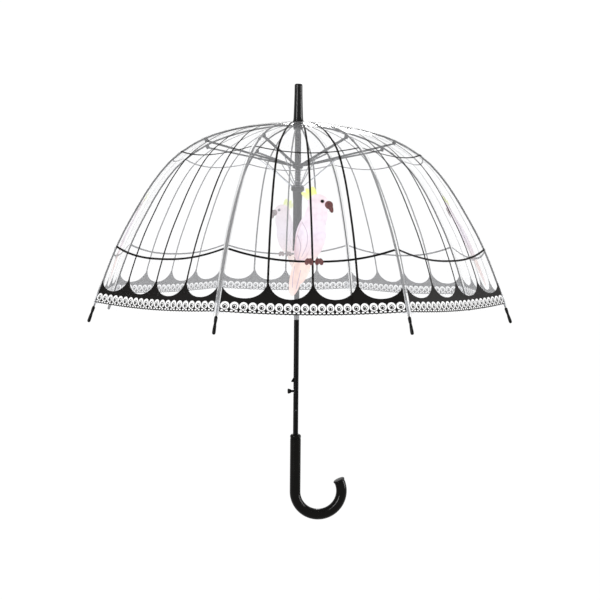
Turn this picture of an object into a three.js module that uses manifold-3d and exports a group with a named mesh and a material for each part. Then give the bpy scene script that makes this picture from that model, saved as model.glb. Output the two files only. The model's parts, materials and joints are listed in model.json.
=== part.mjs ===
// Clear bubble umbrella, shown open. Automatic stick umbrella with eight ribs.
// Millimetres, +Z up, the front panel faces -Y, the hook of the handle curls towards +X.
import * as THREE from 'three';
import { mergeVertices } from 'three/addons/utils/BufferGeometryUtils.js';
import Module from 'manifold-3d';

const wasm = await Module();
wasm.setup();
const { Manifold, Mesh: ManifoldMesh } = wasm;

// ---- driving dimensions ----
const RIBS = 8;
const SPAN = 400;             // shaft axis to the hem at a rib
const GRIP_HEIGHT = 660;      // crown down to the middle of the grip, where the origin is
const GAP = 0.3;

const FILM = 0.4;             // canopy film
const FILM_ABOVE_RIB = 2.9;   // rib centre to film middle
const FILM_HOLE = 5.7;
const HEM_DROP = 6;           // how far the hem hangs down in the middle of a panel
const PANEL_BULGE = 0.12;     // 0 is a flat chord between ribs, 1 a full circle

const RIB_RADIUS = 1.6;
const PIVOT_RADIUS = 8.6;     // rib and stretcher hinges, from the shaft axis
const CROWN_PIVOT = -5;
const ARM_AT = 190;           // where the stretcher meets the rib, from the shaft axis
const ARM_BELOW = 5.7;        // stretcher hinge below the rib centre
const SPLIT_AT = 213;         // where the outer rib starts, from the shaft axis
const TIP_LENGTH = 29;
const NECK_LENGTH = 9.4;      // flat end of a rib, from its hinge to the round rod

const SHAFT_RADIUS = 5;
const SHAFT_BORE = 4.2;
const SHAFT_TOP = 40;
const SHAFT_BOTTOM = -660;

const FERRULE_TOP = 73.5;
const FERRULE_BOTTOM = 2.4;

const WIRE_AT = 72;           // pull wire hinge on the stretcher, from the hub hinge
const WIRE_BELOW = 1.1;       // and below the middle of the stretcher
const WIRE_RADIUS = 0.9;
const LOWER_PIVOT = -121;     // height of the pull wires' lower hinges
const LOWER_PIVOT_RADIUS = 10.6;
const SLEEVE_BOTTOM = -243.4;

const HANDLE_TOP = -599.4;
const HOOK_CENTRE = -712;
const HOOK_RADIUS = 45.5;
const GRIP_RADIUS = 10.5;
const HOOK_SWEEP = 205;       // degrees

const CATCH_PIVOT = -552;
const NUB_TOP = -488.5;
const NUB_BOTTOM = -497.2;
const BUTTON_HEIGHT = -515;

const rad = THREE.MathUtils.degToRad;

// canopy outline at a rib, as shares of the span: distance from the axis, height
const OUTLINE = [
  [0.014, 0.001], [0.06, 0], [0.12, -0.006], [0.25, -0.023], [0.37, -0.051], [0.474, -0.088],
  [0.56, -0.136], [0.61, -0.171], [0.66, -0.216], [0.722, -0.291], [0.77, -0.361],
  [0.815, -0.436], [0.86, -0.514], [0.893, -0.58], [0.935, -0.677], [0.968, -0.763], [1, -0.85],
];
const outline = new THREE.CatmullRomCurve3(
  OUTLINE.map(([r, z]) => new THREE.Vector3(r * SPAN, 0, z * SPAN)), false, 'centripetal');

// ---- materials ----
function material(name, color, roughness, metalness, opacity = 1) {
  const m = new THREE.MeshStandardMaterial({ color, roughness, metalness });
  m.name = name;
  m.opacity = opacity;
  m.transparent = opacity < 1;
  return m;
}
const MATERIALS = {
  film: () => material('clear_pvc_film', 0xdfe6ee, 0.2, 0, 0.4),
  paintedSteel: () => material('black_painted_steel', 0x1c1c1e, 0.35, 0.6),
  blackPlastic: () => material('black_plastic', 0x131314, 0.3, 0),
  brightSteel: () => material('bright_steel', 0xa9abad, 0.3, 0.9),
  handle: () => material('handle_plastic', 0x101012, 0.2, 0),
};

// ---- solids ----
function toManifold(geometry) {
  const bare = new THREE.BufferGeometry();
  bare.setAttribute('position', geometry.getAttribute('position').clone());
  if (geometry.index) bare.setIndex(geometry.index.clone());
  const g = mergeVertices(bare, 1e-4);
  return new Manifold(new ManifoldMesh({
    numProp: 3,
    vertProperties: new Float32Array(g.getAttribute('position').array),
    triVerts: new Uint32Array(g.index.array),
  }));
}

function toGeometry(solid) {
  const m = solid.getMesh();
  const g = new THREE.BufferGeometry();
  g.setAttribute('position', new THREE.BufferAttribute(new Float32Array(m.vertProperties), 3));
  g.setIndex(new THREE.BufferAttribute(new Uint32Array(m.triVerts), 1));
  const flat = g.toNonIndexed();
  flat.computeVertexNormals();
  return flat;
}

// a turned piece about Z from [radius, height] points that close on themselves
function turned(points, segments = 20) {
  const [r, z] = points[0];
  const loop = [...points, [r, z]].map(([x, y]) => new THREE.Vector2(x, y));
  const g = new THREE.LatheGeometry(loop, segments);
  g.rotateX(Math.PI / 2);
  const solid = toManifold(g);
  return solid.volume() < 0 ? toManifold(flipped(g)) : solid;
}

function flipped(geometry) {
  const g = geometry.clone();
  const index = Array.from(g.index.array);
  for (let i = 0; i < index.length; i += 3) {
    [index[i], index[i + 1]] = [index[i + 1], index[i]];
  }
  g.setIndex(index);
  return g;
}

function box(x0, x1, y0, y1, z0, z1) {
  return Manifold.cube([x1 - x0, y1 - y0, z1 - z0]).translate([x0, y0, z0]);
}

function cylinderY(x, z, radius, y0, y1, segments = 8) {
  return Manifold.cylinder(y1 - y0, radius, radius, segments).rotate([-90, 0, 0]).translate([x, y0, z]);
}

function cylinderZ(radius, z0, z1, segments = 24) {
  return Manifold.cylinder(z1 - z0, radius, radius, segments).translate([0, 0, z0]);
}

function join(list) {
  return Manifold.union(list);
}

// a round bar along points, closed at both ends
function bar(points, radius, sides = 6, steps = points.length - 1) {
  const path = new THREE.CatmullRomCurve3(points, false, 'centripetal');
  const shape = new THREE.Shape();
  for (let k = 0; k < sides; k += 1) {
    const a = (2 * Math.PI * (k + 0.5)) / sides;
    const at = [radius * Math.cos(a), radius * Math.sin(a)];
    if (k === 0) shape.moveTo(...at);
    else shape.lineTo(...at);
  }
  shape.closePath();
  const g = new THREE.ExtrudeGeometry(shape, { steps, extrudePath: path, bevelEnabled: false });
  const solid = toManifold(g);
  return solid.volume() < 0 ? toManifold(flipped(mergeVertices(g))) : solid;
}

// a ring of round wire about Z
function wireRing(radius, wire, height) {
  const loop = [];
  for (let k = 0; k < 5; k += 1) {
    const a = rad(72 * k);
    loop.push([radius + wire * Math.cos(a), height + wire * Math.sin(a)]);
  }
  return turned(loop, 20);
}

// ---- where the hinges are, in the plane of one rib: x is away from the shaft ----
function along(share, below) {
  const p = outline.getPointAt(share);
  const t = outline.getTangentAt(share);
  return new THREE.Vector3(p.x + t.z * below, 0, p.z - t.x * below);
}

function shareAtRadius(radius) {
  let low = 0;
  let high = 1;
  for (let k = 0; k < 40; k += 1) {
    const middle = (low + high) / 2;
    if (outline.getPointAt(middle).x < radius) low = middle;
    else high = middle;
  }
  return low;
}

const CROWN_HINGE = new THREE.Vector3(PIVOT_RADIUS, 0, CROWN_PIVOT);
const ARM_SHARE = shareAtRadius(ARM_AT);
const ARM_HINGE = along(ARM_SHARE, FILM_ABOVE_RIB + ARM_BELOW);
const HUB_HINGE = new THREE.Vector3(PIVOT_RADIUS, 0, 2 * ARM_HINGE.z - CROWN_PIVOT);
const SPLIT_SHARE = shareAtRadius(SPLIT_AT);
const SPLIT_HINGE = along(SPLIT_SHARE, FILM_ABOVE_RIB);
const ARM_DIRECTION = ARM_HINGE.clone().sub(HUB_HINGE).normalize();
const ARM_UNDERSIDE = new THREE.Vector3(ARM_DIRECTION.z, 0, -ARM_DIRECTION.x);
const WIRE_HINGE = HUB_HINGE.clone().addScaledVector(ARM_DIRECTION, WIRE_AT)
  .addScaledVector(ARM_UNDERSIDE, WIRE_BELOW);
const LOWER_HINGE = new THREE.Vector3(LOWER_PIVOT_RADIUS, 0, LOWER_PIVOT);
const RIB_END = along(1, FILM_ABOVE_RIB);

function ribPoints(from, to, count) {
  const points = [];
  for (let k = 0; k <= count; k += 1) {
    points.push(along(from + ((to - from) * k) / count, FILM_ABOVE_RIB));
  }
  return points;
}

// ---- rib, stretcher and wire, drawn in the plane y = 0 ----
function innerRib() {
  const start = CROWN_HINGE.clone().add(new THREE.Vector3(NECK_LENGTH, 0, 0.2));
  const stop = SPLIT_HINGE.clone().addScaledVector(outline.getTangentAt(SPLIT_SHARE), -3.4);
  const points = ribPoints(shareAtRadius(26), SPLIT_SHARE - 0.03, 8);
  const rod = bar([start, ...points, stop], RIB_RADIUS, 6, 9);
  const eye = cylinderY(CROWN_HINGE.x, CROWN_HINGE.z, 1.9, -0.8, 0.8, 8);
  const neck = box(CROWN_HINGE.x, start.x + 2, -0.8, 0.8, CROWN_HINGE.z - 1, CROWN_HINGE.z + 1.2);
  const hole = cylinderY(CROWN_HINGE.x, CROWN_HINGE.z, 1, -2, 2, 6);
  return join([rod, eye, neck, armBracket(), splitFork()]).subtract(hole);
}

// two cheeks and a rivet under the rib that carry the stretcher's end
function armBracket() {
  const { x, z } = ARM_HINGE;
  const slope = (Math.atan2(outline.getTangentAt(ARM_SHARE).z, outline.getTangentAt(ARM_SHARE).x) * 180) / Math.PI;
  const cheek = (y) => box(-3, 3, y, y + 0.9, -1.9, ARM_BELOW + 0.4)
    .rotate([0, -slope, 0]).translate([x, 0, z]);
  return join([cheek(1.2), cheek(-2.1), cylinderY(x, z, 0.7, -2.5, 2.5, 6)]);
}

// the fork at the end of the inner rib
function splitFork() {
  const { x, z } = SPLIT_HINGE;
  const t = outline.getTangentAt(SPLIT_SHARE);
  const slope = (Math.atan2(t.z, t.x) * 180) / Math.PI;
  const cheek = (y) => box(-5, 1.7, y, y + 0.8, -1.5, 1.5).rotate([0, -slope, 0]).translate([x, 0, z]);
  return join([cheek(1), cheek(-1.8), cylinderY(x, z, 0.6, -2.1, 2.1, 6)]);
}

function outerRib() {
  const t = outline.getTangentAt(SPLIT_SHARE);
  const slope = (Math.atan2(t.z, t.x) * 180) / Math.PI;
  const start = SPLIT_HINGE.clone().addScaledVector(t, 3.4);
  const end = RIB_END.clone().addScaledVector(outline.getTangentAt(1), 10);
  const points = ribPoints(SPLIT_SHARE + 0.03, 1, 14);
  const rod = bar([start, ...points, end], RIB_RADIUS, 6, 14);
  const tongue = join([
    cylinderY(SPLIT_HINGE.x, SPLIT_HINGE.z, 1.5, -0.7, 0.7),
    box(0, 5, -0.7, 0.7, -1.3, 1.3).rotate([0, -slope, 0]).translate([SPLIT_HINGE.x, 0, SPLIT_HINGE.z]),
  ]);
  const hole = cylinderY(SPLIT_HINGE.x, SPLIT_HINGE.z, 1, -2, 2, 6);
  return join([rod, tongue]).subtract(hole);
}

function ribTip() {
  const profile = [
    [0, 11.4], [RIB_RADIUS + GAP, 11.4], [RIB_RADIUS + GAP, 0], [2.5, 0], [2.6, 7],
    [2.3, 13], [2.9, 25], [2.6, 27.8], [1.4, TIP_LENGTH], [0, TIP_LENGTH],
  ];
  const t = outline.getTangentAt(1);
  const tilt = (Math.atan2(t.x, t.z) * 180) / Math.PI;
  const start = RIB_END.clone().addScaledVector(t, 0.6);
  return turned(profile, 10).rotate([0, tilt, 0]).translate([start.x, 0, start.z]);
}

function stretcher() {
  const slope = (-Math.atan2(ARM_DIRECTION.z, ARM_DIRECTION.x) * 180) / Math.PI;
  const length = HUB_HINGE.distanceTo(ARM_HINGE);
  const beam = box(9, length - 6, -1.9, 1.9, -1.6, 1.6);
  const flats = [box(0, 12, -0.8, 0.8, -1.3, 1.3), box(length - 9, length, -0.8, 0.8, -1.3, 1.3)];
  const eyes = [
    cylinderY(0, 0, 1.9, -0.8, 0.8),
    cylinderY(length, 0, 1.9, -0.8, 0.8),
  ];
  const holes = [cylinderY(0, 0, 1, -2, 2, 6), cylinderY(length, 0, 1.2, -2, 2, 6)];
  const channel = box(0, length - 9, -1.25, 1.25, -3, 1);
  const ears = box(WIRE_AT - 2.4, WIRE_AT + 2.4, -1.9, 1.9, -2.2, 0);
  const pin = cylinderY(WIRE_AT, -WIRE_BELOW, 0.5, -1.9, 1.9, 6);
  const walls = join([beam, ears]).subtract(channel);
  return join([join([walls, ...flats, ...eyes]).subtract(join(holes)), pin])
    .rotate([0, slope, 0]).translate([HUB_HINGE.x, 0, HUB_HINGE.z]);
}

function pullWire() {
  const run = LOWER_HINGE.clone().sub(WIRE_HINGE);
  const length = run.length();
  const slope = (-Math.atan2(run.z, run.x) * 180) / Math.PI;
  const rod = Manifold.cylinder(length - 3, WIRE_RADIUS, WIRE_RADIUS, 6)
    .rotate([0, 90, 0]).translate([1.5, 0, 0]);
  const eye = (x) => cylinderY(x, 0, 1.75, -0.9, 0.9, 8);
  const holes = [cylinderY(0, 0, 0.9, -2, 2, 6), cylinderY(length, 0, 0.9, -2, 2, 6)];
  return join([rod, eye(0), eye(length)]).subtract(join(holes))
    .rotate([0, slope, 0]).translate([WIRE_HINGE.x, 0, WIRE_HINGE.z]);
}

// ---- pieces on the shaft ----
function radialSlots(width, inner, outer, z0, z1) {
  const list = [];
  for (let k = 0; k < RIBS; k += 1) {
    list.push(box(inner, outer, -width / 2, width / 2, z0, z1).rotate([0, 0, ribAngle(k)]));
  }
  return join(list);
}

function ribAngle(k) {
  return -90 + 22.5 + (360 / RIBS) * k;
}

function shaft() {
  const tube = turned([
    [SHAFT_BORE, SHAFT_BOTTOM], [SHAFT_RADIUS, SHAFT_BOTTOM],
    [SHAFT_RADIUS, SHAFT_TOP], [SHAFT_BORE, SHAFT_TOP],
  ], 20);
  const nubSlot = box(-8, 0, -2, 2, NUB_BOTTOM - 0.6, NUB_TOP + 1.4);
  const buttonSlot = box(-8, 0, -2.8, 2.8, BUTTON_HEIGHT - 4.2, BUTTON_HEIGHT + 4.2);
  const pinHole = cylinderY(0, CATCH_PIVOT, 1.3, -8, 8, 12);
  const stopHole = cylinderY(0, -17.8, 1.3, -8, 8, 12);
  return tube.subtract(join([nubSlot, buttonSlot, pinHole, stopHole]));
}

function ferrule() {
  return turned([
    [0, SHAFT_TOP + 0.5], [SHAFT_RADIUS + GAP, SHAFT_TOP + 0.5], [SHAFT_RADIUS + GAP, FERRULE_BOTTOM],
    [10.2, FERRULE_BOTTOM], [10.4, FERRULE_BOTTOM + 1.2], [9.5, FERRULE_BOTTOM + 3.2],
    [9.1, FERRULE_BOTTOM + 8], [8.4, 30], [7.7, 55], [7.5, FERRULE_TOP - 2.2],
    [7.1, FERRULE_TOP - 0.6], [6.3, FERRULE_TOP], [0, FERRULE_TOP],
  ], 20);
}

function crown() {
  const body = turned([
    [SHAFT_RADIUS + GAP, -12.8], [8.4, -12.8], [9, -11.6], [9.6, -8.6], [10, -7.8], [10, -2.4],
    [10.3, -2.2], [10.3, -0.6], [9.9, -0.3], [SHAFT_RADIUS + GAP, -0.3],
  ], 20);
  const groove = turned([[7.8, -5.8], [11, -5.8], [11, -4.2], [7.8, -4.2]], 20);
  return body.subtract(join([groove, radialSlots(2.2, 6.4, 12, -14, -2.7)]));
}

function stopPin() {
  return cylinderY(0, -17.8, 1, -6.4, 6.4, 12);
}

function upperRunner() {
  const z = HUB_HINGE.z;
  const body = turned([
    [SHAFT_RADIUS + GAP, z - 5.4], [7.6, z - 5.4], [8.8, z - 4.2], [10, z - 3.2],
    [10.2, z + 1.5], [9.8, z + 4.5], [8.6, z + 5], [6.2, z + 6.2], [6.1, z + 20], [5.9, -20],
    [SHAFT_RADIUS + GAP, -20],
  ], 20);
  const groove = turned([[7.8, z - 0.8], [12, z - 0.8], [12, z + 0.8], [7.8, z + 0.8]], 20);
  return body.subtract(join([groove, radialSlots(2.2, 6.4, 12, z - 2.3, z + 8)]));
}

function openingSpring() {
  const top = HUB_HINGE.z - 6.3;
  const bottom = LOWER_PIVOT + 3.4;
  const turns = 6;
  const points = [];
  for (let k = 0; k <= turns * 12; k += 1) {
    const a = (2 * Math.PI * k) / 12;
    points.push(new THREE.Vector3(6.55 * Math.cos(a), 6.55 * Math.sin(a),
      top + ((bottom - top) * k) / (turns * 12)));
  }
  return bar(points, 0.6, 5, turns * 11);
}

function lowerRunner() {
  const z = LOWER_PIVOT;
  const body = turned([
    [SHAFT_RADIUS + GAP, SLEEVE_BOTTOM], [8.2, SLEEVE_BOTTOM], [8.8, SLEEVE_BOTTOM + 0.8],
    [8.8, SLEEVE_BOTTOM + 20], [8.4, SLEEVE_BOTTOM + 24], [8.4, z - 30], [9.3, z - 16],
    [9.5, z - 9], [12.3, z - 7.6], [12.6, z - 6.8], [12.6, z + 1.4], [12, z + 2.4],
    [SHAFT_RADIUS + GAP, z + 2.4],
  ], 20);
  const groove = turned([[9.8, z - 0.8], [14, z - 0.8], [14, z + 0.8], [9.8, z + 0.8]], 20);
  const window = box(-14, 0, -2.4, 2.4, SLEEVE_BOTTOM + 6, SLEEVE_BOTTOM + 17);
  return body.subtract(join([groove, radialSlots(2.4, 8.4, 14, z - 3.4, z + 8), window]));
}

// ---- catch ----
function catchLever() {
  const strip = box(-3.1, -2.1, -2.2, 2.2, CATCH_PIVOT - 1, NUB_TOP + 1);
  const foot = box(-2.6, 0, -1.4, 1.4, CATCH_PIVOT - 1, CATCH_PIVOT + 1);
  const eye = cylinderY(0, CATCH_PIVOT, 2.1, -1.4, 1.4, 12);
  const hole = cylinderY(0, CATCH_PIVOT, 1.3, -4, 4, 12);
  const side = [[-2.5, NUB_BOTTOM], [-2.5, NUB_TOP], [-5, NUB_TOP], [-9.2, NUB_BOTTOM + 1.6], [-9, NUB_BOTTOM]];
  const nub = Manifold.extrude([side], 3.2).rotate([90, 0, 0]).translate([0, 1.6, 0]);
  return join([strip, foot, eye, nub]).subtract(hole);
}

function pushButton() {
  const profile = [
    [0, 0], [0, 12.9], [3.4, 12.9], [4.6, 12.3], [5, 11.4], [5, 8.6], [4.4, 8], [2.4, 7.6], [2.4, 0],
  ];
  return turned(profile, 16).rotate([0, -90, 0]).translate([-3.4, 0, BUTTON_HEIGHT]);
}

function catchPin() {
  return cylinderY(0, CATCH_PIVOT, 1, -5.4, 5.4, 12);
}

// ---- handle ----
function hookCentreline() {
  const points = [];
  for (let k = 0; k <= 6; k += 1) {
    points.push(new THREE.Vector3(0, 0, HANDLE_TOP - 8.6 + ((HOOK_CENTRE - HANDLE_TOP + 8.6) * k) / 6));
  }
  const bends = [...Array.from({ length: 15 }, (_, k) => (k + 1) / 16), 0.995, 1];
  for (const share of bends) {
    const a = rad(180 + HOOK_SWEEP * share);
    points.push(new THREE.Vector3(HOOK_RADIUS + HOOK_RADIUS * Math.cos(a), 0,
      HOOK_CENTRE + HOOK_RADIUS * Math.sin(a)));
  }
  return points;
}

function handle() {
  const hook = bar(hookCentreline(), GRIP_RADIUS, 16, 26);
  const socket = cylinderZ(SHAFT_RADIUS + GAP, SHAFT_BOTTOM - 0.5, HANDLE_TOP + 10, 20);
  return hook.subtract(socket);
}

function handleCollar() {
  return turned([
    [SHAFT_RADIUS + GAP, HANDLE_TOP - 8.3], [9.9, HANDLE_TOP - 8.3], [9.9, HANDLE_TOP - 6.6],
    [10.6, HANDLE_TOP - 6.2], [10.6, HANDLE_TOP - 2.4], [8.8, HANDLE_TOP - 0.2],
    [8.2, HANDLE_TOP], [SHAFT_RADIUS + GAP, HANDLE_TOP],
  ], 20);
}

function handleEndCap() {
  const a = rad(180 + HOOK_SWEEP);
  const end = new THREE.Vector3(HOOK_RADIUS + HOOK_RADIUS * Math.cos(a), 0,
    HOOK_CENTRE + HOOK_RADIUS * Math.sin(a));
  const along2 = new THREE.Vector3(-Math.sin(a), 0, Math.cos(a));
  const tilt = (Math.atan2(along2.x, along2.z) * 180) / Math.PI;
  return turned([
    [0, GAP], [10.6, GAP], [11.5, GAP + 0.9], [11.5, GAP + 2.9], [10.4, GAP + 3.9], [0, GAP + 4.2],
  ], 28).rotate([0, tilt, 0]).translate([end.x, 0, end.z]);
}

// ---- canopy ----
// one point of the film: panel position u from -1 to 1 between two ribs, share along the rib
function filmPoint(k, u, share, lift) {
  const p = outline.getPointAt(share);
  const t = outline.getTangentAt(share);
  const half = Math.PI / RIBS;
  const chord = (Math.cos(half) * p.x) / Math.cos(u * half);
  const grow = Math.min(1, p.x / 60);
  const r = p.x + (chord - p.x) * (1 - PANEL_BULGE) * grow;
  const drop = HEM_DROP * (1 - u * u) * Math.max(0, (share - 0.75) / 0.25) ** 2;
  const a = rad(ribAngle(k) + 22.5) + u * half;
  const radius = r - t.z * lift;
  return [radius * Math.cos(a), radius * Math.sin(a), p.z + t.x * lift - drop];
}

function canopyFilm() {
  const across = 2;
  const rows = 18;
  const columns = RIBS * across;
  const points = [];
  for (const lift of [FILM / 2, -FILM / 2]) {
    for (let j = 0; j <= rows; j += 1) {
      for (let i = 0; i < columns; i += 1) {
        points.push(...filmPoint(Math.floor(i / across), -1 + (2 * (i % across)) / across, j / rows, lift));
      }
    }
  }
  const faces = [];
  const layer = (rows + 1) * columns;
  const quad = (a, b, c, d) => faces.push(a, b, c, a, c, d);
  for (let j = 0; j < rows; j += 1) {
    for (let i = 0; i < columns; i += 1) {
      const i2 = (i + 1) % columns;
      const [a, b, c, d] = [j * columns + i, j * columns + i2, (j + 1) * columns + i2, (j + 1) * columns + i];
      quad(a, d, c, b);
      quad(layer + a, layer + b, layer + c, layer + d);
    }
  }
  for (let i = 0; i < columns; i += 1) {
    const i2 = (i + 1) % columns;
    quad(i, i2, layer + i2, layer + i);
    const last = rows * columns;
    quad(last + i2, last + i, layer + last + i, layer + last + i2);
  }
  const g = new THREE.BufferGeometry();
  g.setAttribute('position', new THREE.Float32BufferAttribute(points, 3));
  g.setIndex(faces);
  return toManifold(g);
}

// ---- assembly ----
const umbrella = new THREE.Group();
umbrella.name = 'clear_bubble_umbrella';
umbrella.position.z = GRIP_HEIGHT;

// adds a solid as a node whose own origin is at its hinge
function add(parent, name, solid, kind, pivot = new THREE.Vector3()) {
  const mesh = new THREE.Mesh(toGeometry(solid.translate([-pivot.x, -pivot.y, -pivot.z])), MATERIALS[kind]());
  mesh.name = name;
  mesh.position.copy(pivot);
  parent.add(mesh);
}

function addArms() {
  const pieces = [
    ['inner_rib', innerRib(), 'paintedSteel', CROWN_HINGE],
    ['outer_rib', outerRib(), 'paintedSteel', SPLIT_HINGE],
    ['rib_tip', ribTip(), 'blackPlastic', RIB_END],
    ['stretcher', stretcher(), 'paintedSteel', ARM_HINGE],
    ['pull_wire', pullWire(), 'brightSteel', WIRE_HINGE],
  ];
  for (let k = 0; k < RIBS; k += 1) {
    const arm = new THREE.Group();
    arm.name = `arm_${k + 1}`;
    arm.rotation.z = rad(ribAngle(k));
    umbrella.add(arm);
    for (const [name, solid, kind, pivot] of pieces) add(arm, `${name}_${k + 1}`, solid, kind, pivot);
  }
}

function addShaftPieces() {
  const hub = new THREE.Vector3(0, 0, HUB_HINGE.z);
  const low = new THREE.Vector3(0, 0, LOWER_PIVOT);
  add(umbrella, 'shaft_tube', shaft(), 'paintedSteel');
  add(umbrella, 'ferrule', ferrule(), 'blackPlastic');
  add(umbrella, 'crown', crown(), 'blackPlastic');
  add(umbrella, 'crown_tie_wire', wireRing(PIVOT_RADIUS, 0.5, CROWN_PIVOT), 'brightSteel');
  add(umbrella, 'stop_pin', stopPin(), 'brightSteel');
  add(umbrella, 'upper_runner', upperRunner(), 'blackPlastic', hub);
  add(umbrella, 'upper_tie_wire', wireRing(PIVOT_RADIUS, 0.5, HUB_HINGE.z), 'brightSteel', hub);
  add(umbrella, 'opening_spring', openingSpring(), 'brightSteel', hub);
  add(umbrella, 'lower_runner', lowerRunner(), 'blackPlastic', low);
  add(umbrella, 'lower_tie_wire', wireRing(LOWER_PIVOT_RADIUS, 0.5, LOWER_PIVOT), 'brightSteel', low);
}

function addGripPieces() {
  const pivot = new THREE.Vector3(0, 0, CATCH_PIVOT);
  add(umbrella, 'catch_lever', catchLever(), 'brightSteel', pivot);
  add(umbrella, 'push_button', pushButton(), 'blackPlastic', pivot);
  add(umbrella, 'catch_pin', catchPin(), 'brightSteel', pivot);
  add(umbrella, 'handle', handle(), 'handle');
  add(umbrella, 'handle_collar', handleCollar(), 'handle');
  add(umbrella, 'handle_end_cap', handleEndCap(), 'handle');
}

addArms();
addShaftPieces();
addGripPieces();
add(umbrella, 'canopy_film', canopyFilm(), 'film');

export default umbrella;
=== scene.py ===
"""Clear bubble umbrella: film canopy with a printed birdcage, black frame and hook handle."""
import json
import math

import bmesh
import bpy
import numpy as np
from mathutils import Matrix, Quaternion, Vector
from mathutils.geometry import delaunay_2d_cdt

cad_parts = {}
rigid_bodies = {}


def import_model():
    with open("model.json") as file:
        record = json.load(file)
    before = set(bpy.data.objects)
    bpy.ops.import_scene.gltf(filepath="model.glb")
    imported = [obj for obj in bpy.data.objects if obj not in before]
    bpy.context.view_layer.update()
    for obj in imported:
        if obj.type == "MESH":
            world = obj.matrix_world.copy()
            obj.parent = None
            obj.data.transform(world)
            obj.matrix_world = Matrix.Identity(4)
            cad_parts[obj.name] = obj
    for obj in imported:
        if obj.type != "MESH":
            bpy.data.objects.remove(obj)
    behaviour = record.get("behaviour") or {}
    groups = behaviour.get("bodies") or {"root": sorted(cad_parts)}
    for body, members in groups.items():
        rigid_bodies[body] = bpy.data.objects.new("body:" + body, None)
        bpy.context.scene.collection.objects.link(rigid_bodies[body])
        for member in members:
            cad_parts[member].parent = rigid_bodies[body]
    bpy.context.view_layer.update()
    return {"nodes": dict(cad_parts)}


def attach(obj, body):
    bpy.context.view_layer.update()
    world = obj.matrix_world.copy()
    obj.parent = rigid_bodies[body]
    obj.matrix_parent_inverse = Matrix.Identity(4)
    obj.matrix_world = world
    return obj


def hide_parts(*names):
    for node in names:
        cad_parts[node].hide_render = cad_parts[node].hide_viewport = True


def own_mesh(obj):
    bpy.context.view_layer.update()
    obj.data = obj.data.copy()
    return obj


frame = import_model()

bl_info = {
    "name": "Clear Bubble Umbrella",
    "version": (1, 0, 0),
    "blender": (4, 5, 0),
    "location": "3D View > Sidebar > Umbrella",
    "description": "Builds the film canopy, the print and the finishes of a clear dome umbrella",
    "category": "Object",
}

# ---- the umbrella's own sizes, in metres ----
RIBS = 8
SPAN = 0.4
CROWN_Z = 0.66
HALF_GORE = math.pi / RIBS
FILM_ABOVE_RIB = 0.0029
HEM_DROP = 0.006
PANEL_BULGE = 0.12
SPLIT_RADIUS = 0.213
SEAM = 0.004
POCKET = 0.012

# how far each layer lies above the film
SEAM_LIFT = 0.0001
TAPE_LIFT = 0.00016
WELD_LIFT = 0.0002
PRINT_LIFT = 0.00028
WELD_WIDTH = 0.0007

HOOK_CENTRE = -0.712
HOOK_RADIUS = 0.0455
HOOK_SWEEP = 205
HANDLE_TOP = -0.5994
TUBE_HOLE = 0.0053
BUTTON_HEIGHT = -0.515

# red, green and blue of each finish's darkest spots, as shares of its colour
PAINT_DARK = (0.45249, 0.45249, 0.45249)
PLASTIC_DARK = (0.41279, 0.41279, 0.41279)
GRIP_DARK = (0.45349, 0.4, 0.375)
INK_DARK = (0.38124, 0.41279, 0.5)

# canopy outline at a rib, as shares of the span: distance from the axis, height
OUTLINE = [
    (0.014, 0.001), (0.06, 0), (0.12, -0.006), (0.25, -0.023), (0.37, -0.051),
    (0.474, -0.088), (0.56, -0.136), (0.61, -0.171), (0.66, -0.216), (0.722, -0.291),
    (0.77, -0.361), (0.815, -0.436), (0.86, -0.514), (0.893, -0.58), (0.935, -0.677),
    (0.968, -0.763), (1, -0.85),
]


# ---- curves ----
def smooth_line(points, steps=12, closed=False):
    """A centripetal Catmull-Rom line through the points."""
    p = [np.array(q, float) for q in points]
    if closed:
        p = [p[-1], *p, p[0], p[1]]
    else:
        p = [2 * p[0] - p[1], *p, 2 * p[-1] - p[-2]]
    line = []
    for a, b, c, d in zip(p, p[1:], p[2:], p[3:]):
        d0, d1, d2 = (max(1e-9, float(np.linalg.norm(y - x))) ** 0.5
                      for x, y in ((a, b), (b, c), (c, d)))
        t1 = ((b - a) / d0 - (c - a) / (d0 + d1) + (c - b) / d1) * d1
        t2 = ((c - b) / d1 - (d - b) / (d1 + d2) + (d - c) / d2) * d1
        for s in np.arange(steps) / steps:
            line.append((2 * s**3 - 3 * s**2 + 1) * b + (s**3 - 2 * s**2 + s) * t1
                        + (-2 * s**3 + 3 * s**2) * c + (s**3 - s**2) * t2)
    if not closed:
        line.append(p[-2])
    return np.array(line)


class Profile:
    """The canopy's outline at a rib, measured along its length from 0 to 1."""

    def __init__(self):
        self.points = smooth_line(np.array(OUTLINE) * SPAN, 60)
        steps = np.linalg.norm(np.diff(self.points, axis=0), axis=1)
        self.along = np.r_[0, np.cumsum(steps)]
        self.length = self.along[-1]

    def at(self, share):
        s = share * self.length
        return np.array([np.interp(s, self.along, self.points[:, k]) for k in (0, 1)])

    def tangent(self, share):
        d = self.at(min(1, share + 0.004)) - self.at(max(0, share - 0.004))
        return d / np.linalg.norm(d)

    def share_at(self, radius):
        return float(np.interp(radius, self.points[:, 0], self.along / self.length))


PROFILE = Profile()
SPLIT = PROFILE.share_at(SPLIT_RADIUS)


def rib_angle(k):
    """Direction of rib k + 1 seen from above."""
    return math.radians(-90 + 22.5 + 45 * k)


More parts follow.
